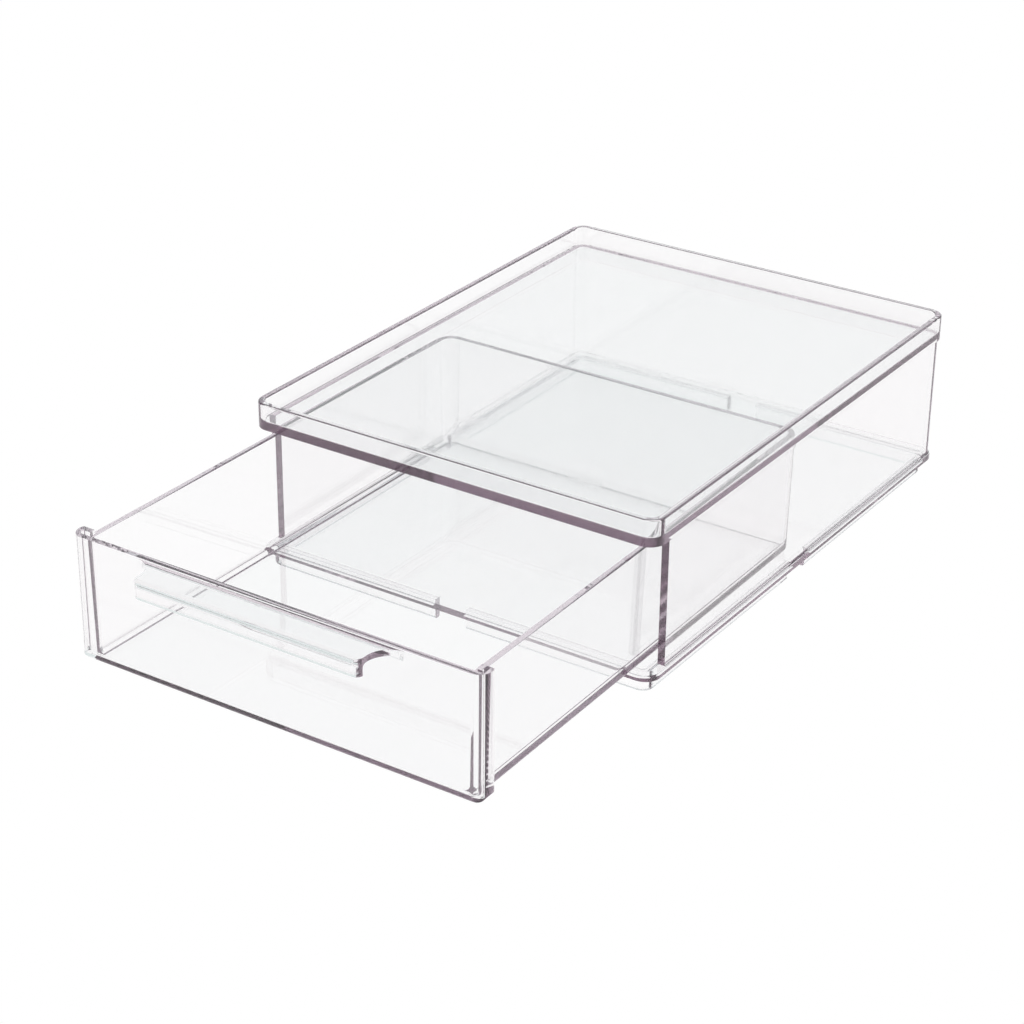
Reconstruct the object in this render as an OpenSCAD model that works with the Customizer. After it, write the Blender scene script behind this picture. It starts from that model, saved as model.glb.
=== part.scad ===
// Stackable drawer box: a clear plastic case holding one shallow open-topped drawer.
// The rim on the roof takes the foot ring of a box set on top of it.
// Millimetres, +Z up. The origin is on the surface that the box stands on, in the middle of its whole
// length and width with the drawer out. The drawer opens towards -Y.

/* [Case] */
// Width of the case over its plates
case_w = 180; // [130:1:300]
// Depth of the case over its plates
case_d = 233; // [170:1:360]
// Clear height between the base plate and the roof plate
bay_h = 52; // [36:1:140]
// Plan radius of the case's corners
case_r = 6.5; // [6:0.5:16]

/* [Top tray] */
// Thickness of the roof plate
roof_t = 2.7; // [2:0.1:4]
// Height of the stacking rim above the roof plate
rim_h = 8; // [7.2:0.1:14]
// Thickness of the stacking rim
rim_t = 2.8; // [2:0.1:3.6]
// Radius of the hollow fillet inside the foot of the rim
rim_fillet = 0.6; // [0.3:0.1:2]
// Radius on the top edges of the rim
rim_edge_r = 0.8; // [0.3:0.1:0.9]

/* [Walls] */
// Thickness of the side walls and the back wall
wall_t = 3; // [2:0.1:4]
// How far the walls stand in from the edges of the plates
wall_inset = 0.9; // [0.4:0.1:2]
// How far the front edges of the walls stand back from the front of the plates
wall_setback = 11; // [10.5:0.5:20]

/* [Base tray] */
// Thickness of the base plate
base_t = 2.6; // [2:0.1:4]
// Height of the foot ring under the base plate
foot_h = 6.6; // [4:0.1:6.8]
// Thickness of the foot ring
foot_t = 2.8; // [2.2:0.1:3.6]
// Radius on the bottom edges of the foot ring
foot_edge_r = 1; // [0.3:0.1:1]
// Play between the foot ring and the rim it drops into
stack_play = 0.8; // [0.5:0.1:1.5]
// Plan radius of the foot ring's corners
foot_r = 5; // [4.2:0.1:12]
// Length of the gap in the middle of each run of the foot ring
foot_gap = 14; // [6:1:40]

/* [Drawer tub] */
// How far the drawer is pulled out
drawer_out = 108; // [0:1:150]
// Thickness of the tub's walls
tub_t = 2.5; // [1.6:0.1:3]
// Thickness of the tub's floor
floor_t = 2.4; // [1.8:0.1:4]
// Play between the tub and each side wall, at the front of the tub
side_play = 1.8; // [0.8:0.1:3]
// How much each side of the tub comes in from front to back
tub_taper = 2.3; // [0:0.1:5]
// Play between the tub and the back wall when the drawer is shut
back_play = 2.3; // [1:0.1:6]
// Play between the tub's sides and the roof plate
top_play = 2.8; // [1:0.1:6]
// Play between the tub's floor and the base plate that it slides on
slide_play = 0.5; // [0.1:0.1:0.6]
// Draft of the tub's walls, in degrees
tub_draft = 1; // [0:0.1:2]
// Plan radius of the tub's back corners
tub_r = 7; // [6:0.1:14]
// Outer radius along the bottom of the tub's walls
tub_low_r = 2.2; // [0.5:0.1:2.5]
// Inner radius between the tub's walls and its floor
tub_fillet = 2.8; // [0.5:0.1:3.2]

/* [Drawer front] */
// Thickness of the front panel and of its return
panel_t = 2.5; // [1.8:0.1:3]
// Play between each end of the front panel and the edge of the plates
panel_inset = 1.5; // [0.5:0.1:3]
// Play between the front panel and the roof plate
panel_top_play = 1.2; // [0.6:0.1:3]
// Play between the front panel and the base plate
panel_low_play = 1.2; // [0.8:0.1:1.9]
// Plan radius at the ends of the front panel
panel_r = 5.2; // [3.5:0.1:5.5]
// Plan radius on the back edge of the return
return_r = 1.6; // [0.3:0.1:1.9]
// Radius of the front panel's lower corners, seen from the front
panel_corner_r = 4.5; // [3:0.1:6]
// Radius along the front of the panel's lower edge and round its lower corners
panel_low_r = 2; // [0.5:0.1:2.4]
// Radius of the hollow fillet between the panel's back and the floor
joint_fillet = 1; // [0.3:0.1:2]
// Depth of the return at each end, from the face of the panel
return_d = 7.2; // [6.9:0.1:9]
// Play between the return and the wall's front edge when the drawer is shut
stop_play = 0.4; // [0.2:0.1:2]

/* [Finger pull] */
// Width of the pull's tip
pull_w = 97; // [40:1:110]
// How far the pull stands out from the panel
pull_d = 13.4; // [12:0.1:20]
// Radius of the hollow sweep from the pull's ends to the panel
pull_sweep_r = 9; // [3:0.5:10]
// Radius of the pull's front corners, seen from above
pull_tip_r = 3; // [1:0.1:3]
// Thickness of the pull's ledge
pull_t = 2.4; // [1.8:0.1:4]
// Step from the panel's top edge down to the ledge
pull_drop = 0.5; // [0:0.1:4]
// Height of the pull's lip, over the ledge
lip_h = 6.8; // [4:0.1:12]
// Thickness of the lip
lip_t = 2.4; // [1.6:0.1:4]
// Radius along the crest of the lip
crest_r = 1.2; // [0.3:0.1:1.5]
// Radius of the fillets under the ledge
pull_fillet = 1.5; // [0.5:0.1:2]

/* [Hidden] */
$fn = 64;
clear_plastic = [0.86, 0.89, 0.93, 0.4];
cut_over = 1;

// How far pieces of one moulding reach into each other, how far one then lies under the other's face,
// and how far an arc crosses a drafted line
least_lap = 0.6;
seam_lap = 0.3;
wall_seam = 0.1;
arc_bite = 0.001;

base_top = foot_h + base_t;
roof_low = base_top + bay_h;
case_front = -case_d / 2;
foot_inset = rim_t + stack_play;

// The drawer's and the case's lengths along Y are worked out from the middle of the case,
// which lies case_y behind the origin
shut_face_y = case_front + wall_setback - stop_play - return_d;
case_y = max(0, case_front - shut_face_y + drawer_out + pull_d) / 2;
tub_len = case_d / 2 - wall_inset - wall_t - back_play - shut_face_y;
tub_h = bay_h - top_play - slide_play;
tub_half = case_w / 2 - wall_inset - wall_t - side_play;
taper_a = atan(tub_taper / tub_len);
draft_k = tan(tub_draft);
draft_root = sqrt(1 + draft_k * draft_k);

panel_half = case_w / 2 - panel_inset;
panel_low = panel_low_play - slide_play;
panel_top = bay_h - panel_top_play - slide_play;
web_y = return_d - panel_t;
slot_w = web_y - panel_t;
ledge_top = panel_top - pull_drop;
edge_lap = (panel_low_r + panel_corner_r) / 2;
floor_seam = (edge_lap - panel_low_r) / 2;

// Half width of the tub's outer top edge, a distance y behind the panel's face
function tub_half_at(y) = tub_half - y * tan(taper_a);

// How far in from the tub's outer top edge a line lies that starts off_s in from it and is z high
function drafted_s(off_s, z) = off_s + (tub_h - z) * draft_k;

// Centre of a circle of radius r that stands z high and lies against such a line on its inner side,
// a hair over it so that the two always cross
function touching(off_s, z, r) = [drafted_s(off_s, z) + (r - arc_bite) * draft_root, z];

// That circle's nearest point to the line
function touch_point(c, r) = c - r * [1, draft_k] / draft_root;

// The tub's section reaches in as far as its inner fillet, and its corners are never tighter than that
fillet_reach = touching(tub_t, floor_t + tub_fillet, tub_fillet)[0];
corner_r = max(tub_r, fillet_reach + least_lap);

// Half of the flat strip between the tub's inner fillet and the centre of its back corner
floor_lap = (corner_r - fillet_reach) / 2;

// Half width between the webs, which end inside the tub's walls
web_in = tub_half_at(web_y) - tub_t / 2;

// Rectangle with round corners
module round_rect(w, d, r) {
    square([w - 2 * r, d], center = true);
    square([w, d - 2 * r], center = true);
    for (sx = [-1, 1], sy = [-1, 1])
        translate([sx * (w / 2 - r), sy * (d / 2 - r)]) circle(r);
}

// Hollow corner fillet between two faces that meet at the origin
module fillet_profile(r) {
    difference() {
        square(r);
        translate([r, r]) circle(r);
    }
}

// Upright strip standing on z = 0, with its two top corners rounded
module rounded_top(w, h, r) {
    square([w, h - r]);
    translate([r, 0]) square([w - 2 * r, h]);
    for (x = [r, w - r])
        translate([x, h - r]) circle(r);
}

// Straight run of a profile along Y. The profile's x points inwards and its y upwards.
module run_y(y0, y1) {
    translate([0, y1, 0]) rotate([90, 0, 0]) linear_extrude(y1 - y0) children();
}

// Straight run of a profile along X. The profile's x points along +Y and its y upwards.
module run_x(x0, x1) {
    translate([x0, 0, 0]) rotate([90, 0, 90]) linear_extrude(x1 - x0) children();
}

// Round corner of a profile, turning through angle a from +X, with its outer face at radius r
module corner_turn(r, a) {
    rotate_extrude(angle = a) translate([r, 0]) mirror([1, 0]) children();
}

// A profile taken all round a rectangle with round corners
module ring(w, d, r) {
    for (flip = [0, 1]) {
        mirror([flip, 0, 0]) translate([-w / 2, 0, 0]) run_y(r - d / 2, d / 2 - r) children();
        mirror([0, flip, 0]) rotate([0, 0, 90]) translate([-d / 2, 0, 0])
            run_y(r - w / 2, w / 2 - r) children();
        for (back = [0, 1])
            mirror([flip, 0, 0]) mirror([0, back, 0])
                translate([w / 2 - r, d / 2 - r, 0]) corner_turn(r, 90) children();
    }
}

// Foot ring's section
module foot_profile() {
    translate([0, foot_h]) mirror([0, 1]) rounded_top(foot_t, foot_h, foot_edge_r);
    translate([foot_t, foot_h]) mirror([0, 1]) fillet_profile(foot_edge_r);
}

// Base plate with the foot ring that drops into the rim of the box below
module base_tray() {
    color(clear_plastic) translate([0, case_y, 0]) {
        translate([0, 0, foot_h]) linear_extrude(base_t) round_rect(case_w, case_d, case_r);
        difference() {
            ring(case_w - 2 * foot_inset, case_d - 2 * foot_inset, foot_r) foot_profile();
            linear_extrude(foot_h) {
                square([foot_gap, case_d + cut_over], center = true);
                square([case_w + cut_over, foot_gap], center = true);
            }
        }
    }
}

// Wall's section, with small flares that bring it out to the plates' edges below and above
module wall_profile() {
    translate([wall_inset, 0]) square([wall_t, bay_h]);
    for (high = [0, 1])
        translate([wall_inset, high * bay_h]) mirror([1, 0]) mirror([0, high])
            fillet_profile(wall_inset);
}

// Side walls and back wall in one bent shell, open at the front
module wall_shell() {
    color(clear_plastic) translate([0, case_y, base_top]) difference() {
        ring(case_w, case_d, case_r) wall_profile();
        translate([-case_w / 2 - cut_over, case_front - cut_over, -cut_over])
            cube([case_w + 2 * cut_over, wall_setback + cut_over, bay_h + 2 * cut_over]);
    }
}

// Rim's section above the roof plate
module rim_profile() {
    rounded_top(rim_t, rim_h, rim_edge_r);
    translate([rim_t, 0]) fillet_profile(rim_fillet);
}

// Roof plate with the stacking rim
module top_tray() {
    color(clear_plastic) translate([0, case_y, roof_low]) {
        linear_extrude(roof_t) round_rect(case_w, case_d, case_r);
        translate([0, 0, roof_t]) ring(case_w, case_d, case_r) rim_profile();
    }
}

// Drafted wall of the tub with the edge of its floor, almost as far in as the corner's centre. With a
// seam it fits inside a profile without one, that much under its faces.
module tub_profile(seam = 0) {
    low = touching(seam, tub_low_r, tub_low_r);
    high = touching(tub_t - seam, floor_t + tub_fillet, tub_fillet);
    floor_end = corner_r - floor_lap / 2 - seam;
    difference() {
        polygon([
            [seam, tub_h], [drafted_s(seam, 0), 0], [floor_end, 0], [floor_end, floor_t],
            [drafted_s(tub_t - seam, floor_t), floor_t], [tub_t - seam, tub_h]
        ]);
        difference() {
            polygon([[drafted_s(seam, 0), 0], [low[0], 0], low, touch_point(low, tub_low_r)]);
            translate(low) circle(tub_low_r);
        }
    }
    difference() {
        polygon([
            [drafted_s(tub_t - seam, floor_t), floor_t], [high[0], floor_t], high,
            touch_point(high, tub_fillet)
        ]);
        translate(high) circle(tub_fillet);
    }
}

// Open-topped tub behind the panel: two sides that come in towards the back, back wall and floor.
// The back wall's ends lie a little way inside the round corners.
module tub() {
    centre_y = tub_len - corner_r;
    centre_x = tub_half_at(centre_y) - corner_r / cos(taper_a);
    side_run = (centre_y + corner_r * sin(taper_a)) / cos(taper_a);
    floor_in = (corner_r - floor_lap) / cos(taper_a);
    floor_front = web_y + cut_over / 2;
    floor_back = centre_y + floor_lap;
    for (flip = [0, 1]) mirror([flip, 0, 0]) {
        intersection() {
            translate([-tub_half, 0, 0]) rotate([0, 0, -taper_a])
                run_y(0, side_run) tub_profile();
            translate([-case_w / 2, web_y, -cut_over])
                cube([case_w / 2, case_d, tub_h + 2 * cut_over]);
        }
        translate([-tub_half, 0, 0]) rotate([0, 0, -taper_a])
            translate([corner_r, side_run, 0]) mirror([1, 0, 0])
                corner_turn(corner_r, 90 - taper_a) tub_profile();
    }
    translate([0, tub_len, 0]) rotate([0, 0, -90])
        run_y(-centre_x - seam_lap, centre_x + seam_lap) tub_profile(wall_seam);
    linear_extrude(floor_t)
        polygon([
            for (corner = [[-1, floor_front], [1, floor_front], [1, floor_back], [-1, floor_back]])
                [corner[0] * (tub_half_at(corner[1]) - floor_in), corner[1]]
        ]);
}

// Plan of the panel and its returns, without the slot behind it
module panel_block() {
    translate([panel_r - panel_half, 0]) square([2 * (panel_half - panel_r), return_d]);
    translate([-panel_half, panel_r]) square([2 * panel_half, return_d - panel_r - return_r]);
    translate([return_r - panel_half, panel_r])
        square([2 * (panel_half - return_r), return_d - panel_r]);
    for (sx = [-1, 1]) {
        translate([sx * (panel_half - panel_r), panel_r]) circle(panel_r);
        translate([sx * (panel_half - return_r), return_d - return_r]) circle(return_r);
    }
}

// Plan of the slot between the panel and the webs that step in to the tub's sides
module slot_plan() {
    slot_end = panel_half - panel_t - slot_w / 2;
    translate([-slot_end, panel_t]) square([2 * slot_end, slot_w]);
    for (sx = [-1, 1])
        translate([sx * slot_end, panel_t + slot_w / 2]) circle(slot_w / 2);
    translate([-web_in, panel_t + slot_w / 2]) square([2 * web_in, return_d]);
}

// Section across the panel's edge, whose front corner is round. Its x points inwards, its y upwards.
module edge_profile() {
    translate([0, -return_d]) square([edge_lap, return_d - panel_low_r]);
    translate([panel_low_r, -return_d]) square([edge_lap - panel_low_r, return_d]);
    translate([panel_low_r, -panel_low_r]) circle(panel_low_r);
}

// The panel's outline in depth, seen with its face up: both ends and the lower edge are round in front
module panel_outline() {
    side_top = panel_top + cut_over;
    corner_y = panel_low + panel_corner_r;
    inner_x = panel_half - edge_lap + floor_seam;
    inner_r = panel_corner_r - edge_lap + floor_seam;
    for (flip = [0, 1]) mirror([flip, 0, 0]) {
        translate([-panel_half, 0, 0]) run_y(corner_y, side_top) edge_profile();
        translate([panel_half - panel_corner_r, corner_y, 0]) rotate([0, 0, -90])
            corner_turn(panel_corner_r, 90) edge_profile();
    }
    translate([0, panel_low, 0]) rotate([0, 0, 90])
        run_y(panel_corner_r - panel_half, panel_half - panel_corner_r) edge_profile();
    translate([0, 0, -return_d]) linear_extrude(return_d) {
        translate([-inner_x, corner_y]) square([2 * inner_x, side_top - corner_y]);
        translate([inner_r - inner_x, corner_y - inner_r])
            square([2 * (inner_x - inner_r), side_top - corner_y + inner_r]);
        for (sx = [-1, 1])
            translate([sx * (inner_x - inner_r), corner_y]) circle(inner_r);
    }
}

// Front panel with its returns, its joint with the floor and a fillet inside
module panel() {
    joint_y = web_y + cut_over;
    joint_half = tub_half_at(joint_y) - drafted_s(least_lap, 0) - tub_low_r;
    difference() {
        intersection() {
            linear_extrude(panel_top) panel_block();
            rotate([90, 0, 0]) panel_outline();
        }
        translate([0, 0, floor_t]) linear_extrude(panel_top) slot_plan();
    }
    translate([-joint_half, panel_t + slot_w / 2, 0])
        cube([2 * joint_half, joint_y - panel_t - slot_w / 2, floor_t]);
    translate([0, panel_t, floor_t]) run_x(-web_in, web_in) fillet_profile(joint_fillet);
}

// Plan of the pull's tip, which reaches back into the panel
module pull_tip() {
    translate([-pull_w / 2, pull_tip_r - pull_d])
        square([pull_w, pull_d - pull_tip_r + panel_t / 2]);
    translate([pull_tip_r - pull_w / 2, -pull_d]) square([pull_w - 2 * pull_tip_r, pull_d]);
    for (sx = [-1, 1])
        translate([sx * (pull_w / 2 - pull_tip_r), pull_tip_r - pull_d]) circle(pull_tip_r);
}

// Plan of the pull's ledge, which sweeps out to the panel at both ends
module pull_plan() {
    pull_tip();
    for (flip = [0, 1])
        mirror([flip, 0]) translate([pull_w / 2, 0]) mirror([0, 1]) fillet_profile(pull_sweep_r);
}

// Side view of the pull: ledge, lip and the fillets in its hollow
module pull_side() {
    lip_low = ledge_top - lip_h;
    ledge_low = ledge_top - pull_t;
    translate([crest_r - pull_d, ledge_low]) square([pull_d - crest_r + panel_t / 2, pull_t]);
    translate([-pull_d, lip_low]) square([lip_t, lip_h - crest_r]);
    translate([crest_r - pull_d, ledge_top - crest_r]) circle(crest_r);
    translate([lip_t - pull_d, ledge_low]) mirror([0, 1]) fillet_profile(pull_fillet);
    translate([0, ledge_low]) mirror([1, 0]) mirror([0, 1]) fillet_profile(pull_fillet);
}

// Finger pull along the top of the panel
module pull() {
    lip_low = ledge_top - lip_h;
    pull_half = pull_w / 2 + pull_sweep_r;
    intersection() {
        union() {
            translate([0, 0, ledge_top - pull_t - pull_fillet])
                linear_extrude(pull_t + pull_fillet) pull_plan();
            translate([0, 0, lip_low]) linear_extrude(lip_h) pull_tip();
        }
        run_x(-pull_half, pull_half) pull_side();
    }
}

// Drawer: tub, panel and pull in one moulding, a little above the base plate
module drawer() {
    color(clear_plastic) translate([0, case_y + shut_face_y - drawer_out, base_top + slide_play]) {
        tub();
        panel();
        pull();
    }
}

base_tray();
wall_shell();
top_tray();
drawer();
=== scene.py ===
import bpy
from math import radians
from mathutils import Euler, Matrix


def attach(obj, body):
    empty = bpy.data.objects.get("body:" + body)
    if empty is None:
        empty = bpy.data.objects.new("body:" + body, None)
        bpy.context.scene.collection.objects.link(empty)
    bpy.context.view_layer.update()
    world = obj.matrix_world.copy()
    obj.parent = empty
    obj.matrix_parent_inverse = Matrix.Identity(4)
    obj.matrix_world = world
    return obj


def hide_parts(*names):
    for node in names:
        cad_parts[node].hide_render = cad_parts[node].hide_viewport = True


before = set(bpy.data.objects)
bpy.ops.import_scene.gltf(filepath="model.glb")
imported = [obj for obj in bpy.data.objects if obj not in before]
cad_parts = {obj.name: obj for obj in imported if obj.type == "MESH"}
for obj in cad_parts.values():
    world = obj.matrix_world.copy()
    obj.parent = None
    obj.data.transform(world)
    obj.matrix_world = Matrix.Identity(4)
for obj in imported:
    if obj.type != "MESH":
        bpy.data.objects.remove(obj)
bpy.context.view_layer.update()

print("frame loaded")

for name in ("Cube", "Light", "Camera"):
    if name in bpy.data.objects:
        bpy.data.objects.remove(bpy.data.objects[name], do_unlink=True)

# camera

camera = {
    "place": (0.4982, -0.7662, 0.4902),
    "turn": (63.09, -0.51, 33.73),
    "lens": 92.84,
    "sensor": 36.0,
    "near": 0.05,
    "far": 20.0,
}


def addCamera():
    data = bpy.data.cameras.new("camera")
    data.lens = camera["lens"]
    data.sensor_width = camera["sensor"]
    data.clip_start = camera["near"]
    data.clip_end = camera["far"]
    obj = bpy.data.objects.new("camera", data)
    obj.location = camera["place"]
    obj.rotation_euler = Euler([radians(angle) for angle in camera["turn"]])
    bpy.context.scene.collection.objects.link(obj)
    bpy.context.scene.camera = obj


addCamera()
print("camera set")

# clear plastic


def mouldedFinish():
    # slow waves left by the mould and faint scuffs from use
    group = bpy.data.node_groups.new("mouldedFinish", "ShaderNodeTree")
    for socketName in ("Wave Scale", "Scuff Scale", "Polished", "Scuffed"):
        group.interface.new_socket(socketName, in_out="INPUT", socket_type="NodeSocketFloat")
    for socketName in ("Height", "Roughness"):
        group.interface.new_socket(socketName, in_out="OUTPUT", socket_type="NodeSocketFloat")
    nodes, links = group.nodes, group.links
    given = nodes.new("NodeGroupInput")
    result = nodes.new("NodeGroupOutput")
    coords = nodes.new("ShaderNodeTexCoord")
    wave = nodes.new("ShaderNodeTexNoise")
    wave.inputs["Detail"].default_value = 1.0
    scuff = nodes.new("ShaderNodeTexNoise")
    scuff.inputs["Detail"].default_value = 4.0
    spread = nodes.new("ShaderNodeMapRange")
    spread.inputs["From Min"].default_value = 0.5   # only the peaks of the noise are scuffed
    spread.inputs["From Max"].default_value = 0.75
    for noise, scale in ((wave, "Wave Scale"), (scuff, "Scuff Scale")):
        links.new(coords.outputs["Object"], noise.inputs["Vector"])
        links.new(given.outputs[scale], noise.inputs["Scale"])
    links.new(scuff.outputs[0], spread.inputs["Value"])
    links.new(given.outputs["Polished"], spread.inputs["To Min"])
    links.new(given.outputs["Scuffed"], spread.inputs["To Max"])
    links.new(wave.outputs[0], result.inputs["Height"])
    links.new(spread.outputs["Result"], result.inputs["Roughness"])
    return group


def clearPlastic(name, look):
    mat = bpy.data.materials.new(name)
    mat.use_nodes = True
    nodes, links = mat.node_tree.nodes, mat.node_tree.links
    bsdf = nodes["Principled BSDF"]
    bsdf.inputs["Base Color"].default_value = (1.0, 1.0, 1.0, 1.0)
    bsdf.inputs["IOR"].default_value = look["ior"]
    bsdf.inputs["Transmission Weight"].default_value = 1.0
    surface = nodes.new("ShaderNodeGroup")
    surface.node_tree = finish
    surface.inputs["Wave Scale"].default_value = look["waveScale"]
    surface.inputs["Scuff Scale"].default_value = look["scuffScale"]
    surface.inputs["Polished"].default_value = look["polished"]
    surface.inputs["Scuffed"].default_value = look["scuffed"]
    bump = nodes.new("ShaderNodeBump")
    bump.inputs["Distance"].default_value = look["waveHeight"]
    links.new(surface.outputs["Height"], bump.inputs["Height"])
    links.new(bump.outputs[0], bsdf.inputs["Normal"])
    links.new(surface.outputs["Roughness"], bsdf.inputs["Roughness"])
    # light that runs along a wall comes out of its edges darker and mauve brown
    depth = nodes.new("ShaderNodeVolumeAbsorption")
    depth.inputs["Color"].default_value = look["depthColour"]
    depth.inputs["Density"].default_value = look["depth"]
    haze = nodes.new("ShaderNodeVolumeScatter")
    haze.inputs["Density"].default_value = look["haze"]
    inside = nodes.new("ShaderNodeAddShader")
    links.new(depth.outputs[0], inside.inputs[0])
    links.new(haze.outputs[0], inside.inputs[1])
    links.new(inside.outputs[0], nodes["Material Output"].inputs["Volume"])
    return mat


finish = mouldedFinish()
print("plastic finish made")

# moulded pieces


def bondTree(parts):
    # welds each moulding's loose triangles and makes the mouldings one closed body
    tree = bpy.data.node_groups.new("bondMouldings", "GeometryNodeTree")
    for part in parts:
        tree.interface.new_socket(part, in_out="INPUT", socket_type="NodeSocketObject")
    tree.interface.new_socket("Weld Distance", in_out="INPUT", socket_type="NodeSocketFloat")
    tree.interface.new_socket("Plastic", in_out="INPUT", socket_type="NodeSocketMaterial")
    tree.interface.new_socket("Geometry", in_out="OUTPUT", socket_type="NodeSocketGeometry")
    nodes, links = tree.nodes, tree.links
    given = nodes.new("NodeGroupInput")
    bond = nodes.new("GeometryNodeMeshBoolean")
    bond.operation = "UNION"
    bond.solver = "EXACT"
    for part in parts:
        moulding = nodes.new("GeometryNodeObjectInfo")
        weld = nodes.new("GeometryNodeMergeByDistance")
        links.new(given.outputs[part], moulding.inputs["Object"])
        links.new(moulding.outputs["Geometry"], weld.inputs["Geometry"])
        links.new(given.outputs["Weld Distance"], weld.inputs["Distance"])
        links.new(weld.outputs[0], bond.inputs["Mesh 2"])
    seams = nodes.new("GeometryNodeMergeByDistance")
    links.new(bond.outputs["Mesh"], seams.inputs["Geometry"])
    links.new(given.outputs["Weld Distance"], seams.inputs["Distance"])
    smooth = nodes.new("GeometryNodeSetShadeSmooth")
    realize = nodes.new("GeometryNodeRealizeInstances")
    material = nodes.new("GeometryNodeSetMaterial")
    result = nodes.new("NodeGroupOutput")
    links.new(seams.outputs[0], smooth.inputs["Geometry"])
    links.new(smooth.outputs[0], realize.inputs[0])
    links.new(realize.outputs[0], material.inputs["Geometry"])
    links.new(given.outputs["Plastic"], material.inputs["Material"])
    links.new(material.outputs[0], result.inputs["Geometry"])
    return tree


def applyModifiers(piece):
    depsgraph = bpy.context.evaluated_depsgraph_get()
    mesh = bpy.data.meshes.new_from_object(piece.evaluated_get(depsgraph))
    piece.modifiers.clear()
    piece.data = mesh
    return mesh


def mouldedPiece(name, settings):
    piece = bpy.data.objects.new(name, bpy.data.meshes.new(name))
    bpy.context.scene.collection.objects.link(piece)
    plastic = clearPlastic(name + "Plastic", settings)
    tree = bondTree(settings["mouldings"])
    bond = piece.modifiers.new("bond", "NODES")
    bond.node_group = tree
    values = {part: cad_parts[part] for part in settings["mouldings"]}
    values["Weld Distance"] = settings["weld"]
    values["Plastic"] = plastic
    for socket in tree.interface.items_tree:
        if socket.in_out == "INPUT":
            bond[socket.identifier] = values[socket.name]
    flats = piece.modifiers.new("whole flats", "DECIMATE")
    flats.decimate_type = "DISSOLVE"
    flats.angle_limit = radians(settings["flatAngle"])
    soft = piece.modifiers.new("soft edges", "BEVEL")
    soft.width = settings["edgeRadius"]
    soft.segments = settings["edgeSteps"]
    soft.limit_method = "ANGLE"
    soft.angle_limit = radians(settings["edgeAngle"])
    mesh = applyModifiers(piece)
    mesh.set_sharp_from_angle(angle=radians(settings["smoothAngle"]))
    even = piece.modifiers.new("even shading", "WEIGHTED_NORMAL")
    even.keep_sharp = True
    mesh = applyModifiers(piece)
    mesh.name = name
    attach(piece, settings["body"])
    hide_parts(*settings["mouldings"])
    print(name, "made,", len(mesh.polygons), "faces")


moulded = {
    "weld": 2e-6,           # distances in metres, angles in degrees
    "flatAngle": 0.2,
    "edgeRadius": 0.00025,
    "edgeSteps": 2,
    "edgeAngle": 40.0,
    "smoothAngle": 50.0,
    "ior": 1.57,
    "depthColour": (0.38, 0.15, 0.31, 1.0),
    "depth": 8.0,
    "haze": 1.5,
    "waveScale": 22.0,
    "waveHeight": 0.00005,
    "scuffScale": 90.0,
}

case = {
    **moulded,
    "mouldings": ("base_tray", "wall_shell", "top_tray"),
    "body": "case",
    "polished": 0.03,
    "scuffed": 0.09,
}
mouldedPiece("bondedCase", case)

drawer = {
    **moulded,
    "mouldings": ("drawer",),
    "body": "drawer",
    "polished": 0.01,
    "scuffed": 0.05,
}
mouldedPiece("drawerMoulding", drawer)

# studio

studio = {
    "floorSize": 8.0,
    "floorDrop": 0.0005,
    "floorColour": (0.9, 0.9, 0.9, 1.0),
    "floorRoughness": 0.9,
    "white": 1.0,
    "backLight": (0.79, 0.87, 0.86, 1.0),
    "frontLight": (0.22, 0.22, 0.24, 1.0),
    "lampEnergy": 1.7,
    "lampSoftness": 60.0,
    "lampTurn": (42.0, -14.0, 0.0),
    "frontEnd": -0.6,
    "backStart": 0.2,
}


def whiteFor(nodes, links, kinds, lit, white):
    # plain white on the ray kinds named, the lit surface on the rest
    path = nodes.new("ShaderNodeLightPath")
    seen = path.outputs[kinds[0]]
    for kind in kinds[1:]:
        either = nodes.new("ShaderNodeMath")
        either.operation = "MAXIMUM"
        links.new(seen, either.inputs[0])
        links.new(path.outputs[kind], either.inputs[1])
        seen = either.outputs[0]
    white.inputs["Color"].default_value = (1.0, 1.0, 1.0, 1.0)
    white.inputs["Strength"].default_value = studio["white"]
    mix = nodes.new("ShaderNodeMixShader")
    links.new(seen, mix.inputs[0])
    links.new(lit.outputs[0], mix.inputs[1])
    links.new(white.outputs[0], mix.inputs[2])
    return mix.outputs[0]


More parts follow.
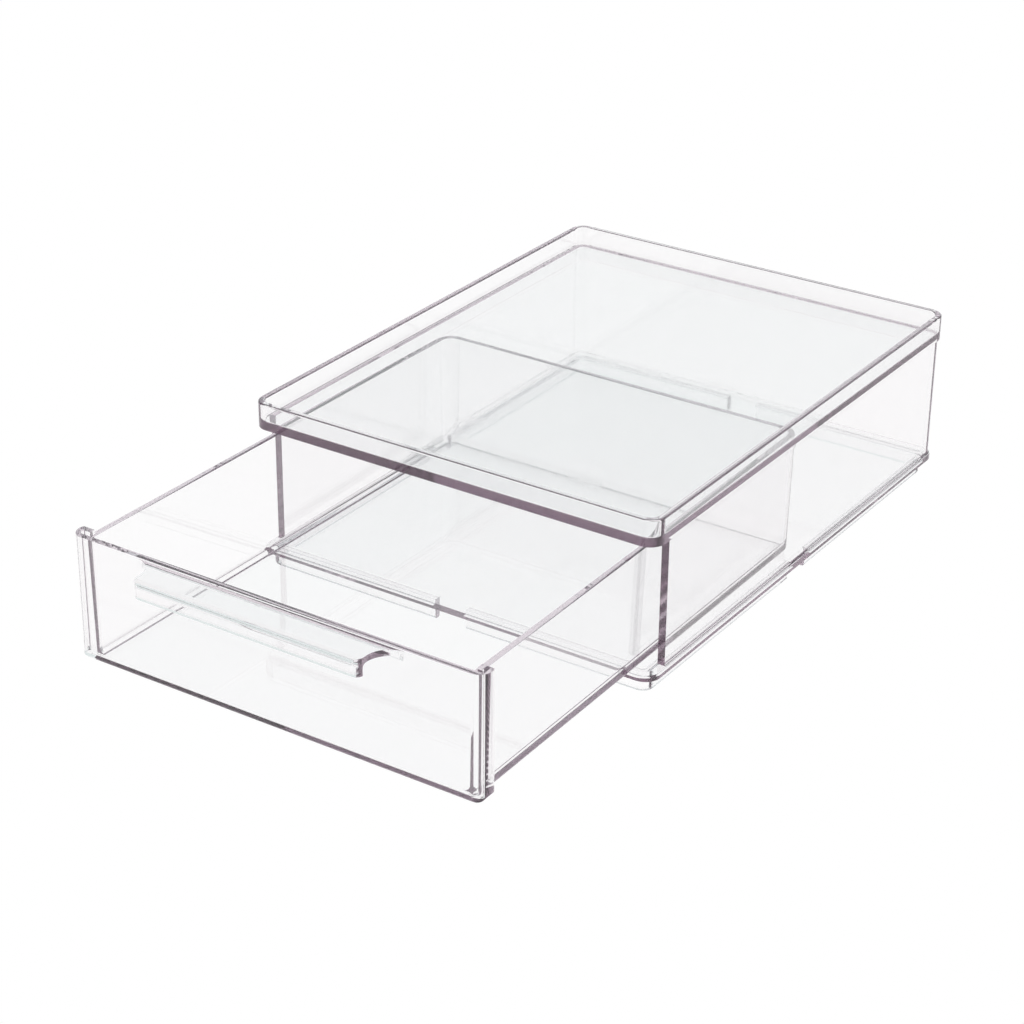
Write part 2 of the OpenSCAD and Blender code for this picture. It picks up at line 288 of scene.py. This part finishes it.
def addFloor():
    mat = bpy.data.materials.new("floorWhite")
    mat.use_nodes = True
    nodes, links = mat.node_tree.nodes, mat.node_tree.links
    bsdf = nodes["Principled BSDF"]
    bsdf.inputs["Base Color"].default_value = studio["floorColour"]
    bsdf.inputs["Roughness"].default_value = studio["floorRoughness"]
    kinds = ("Is Camera Ray", "Is Transmission Ray", "Is Glossy Ray")
    shown = whiteFor(nodes, links, kinds, bsdf, nodes.new("ShaderNodeEmission"))
    links.new(shown, nodes["Material Output"].inputs["Surface"])
    half = studio["floorSize"] / 2
    drop = -studio["floorDrop"]
    corners = [(-half, -half, drop), (half, -half, drop), (half, half, drop), (-half, half, drop)]
    mesh = bpy.data.meshes.new("floor")
    mesh.from_pydata(corners, [], [(0, 1, 2, 3)])
    mesh.materials.append(mat)
    floor = bpy.data.objects.new("floor", mesh)
    bpy.context.scene.collection.objects.link(floor)


def addWorld():
    # a soft room, brighter behind the object than in front of it
    world = bpy.data.worlds.new("studio")
    world.use_nodes = True
    bpy.context.scene.world = world
    nodes, links = world.node_tree.nodes, world.node_tree.links
    room = nodes["Background"]
    coords = nodes.new("ShaderNodeTexCoord")
    axes = nodes.new("ShaderNodeSeparateXYZ")
    links.new(coords.outputs["Generated"], axes.inputs[0])
    spread = nodes.new("ShaderNodeMapRange")
    spread.interpolation_type = "SMOOTHSTEP"
    spread.inputs["From Min"].default_value = studio["frontEnd"]
    spread.inputs["From Max"].default_value = studio["backStart"]
    links.new(axes.outputs["Y"], spread.inputs["Value"])
    tone = nodes.new("ShaderNodeMixRGB")
    tone.inputs["Color1"].default_value = studio["frontLight"]
    tone.inputs["Color2"].default_value = studio["backLight"]
    links.new(spread.outputs["Result"], tone.inputs["Fac"])
    links.new(tone.outputs[0], room.inputs["Color"])
    shown = whiteFor(nodes, links, ("Is Camera Ray",), room, nodes.new("ShaderNodeBackground"))
    links.new(shown, nodes["World Output"].inputs["Surface"])


def addLamp():
    # evens out the light on matt surfaces, and isn't mirrored in the plastic
    data = bpy.data.lights.new("softLamp", "SUN")
    data.energy = studio["lampEnergy"]
    data.angle = radians(studio["lampSoftness"])
    lamp = bpy.data.objects.new("softLamp", data)
    lamp.rotation_euler = Euler([radians(angle) for angle in studio["lampTurn"]])
    bpy.context.scene.collection.objects.link(lamp)
    lamp.visible_glossy = False
    lamp.visible_transmission = False


addFloor()
addWorld()
addLamp()
bpy.context.scene.view_settings.view_transform = "Standard"
print("studio set")

# light is caught in the plastic for many turns before it leaves by an edge

lightTurns = {"inside": 160, "haze": 4}
cycles = bpy.context.scene.cycles
cycles.max_bounces = lightTurns["inside"]
cycles.transmission_bounces = lightTurns["inside"]
cycles.glossy_bounces = lightTurns["inside"]
cycles.volume_bounces = lightTurns["haze"]
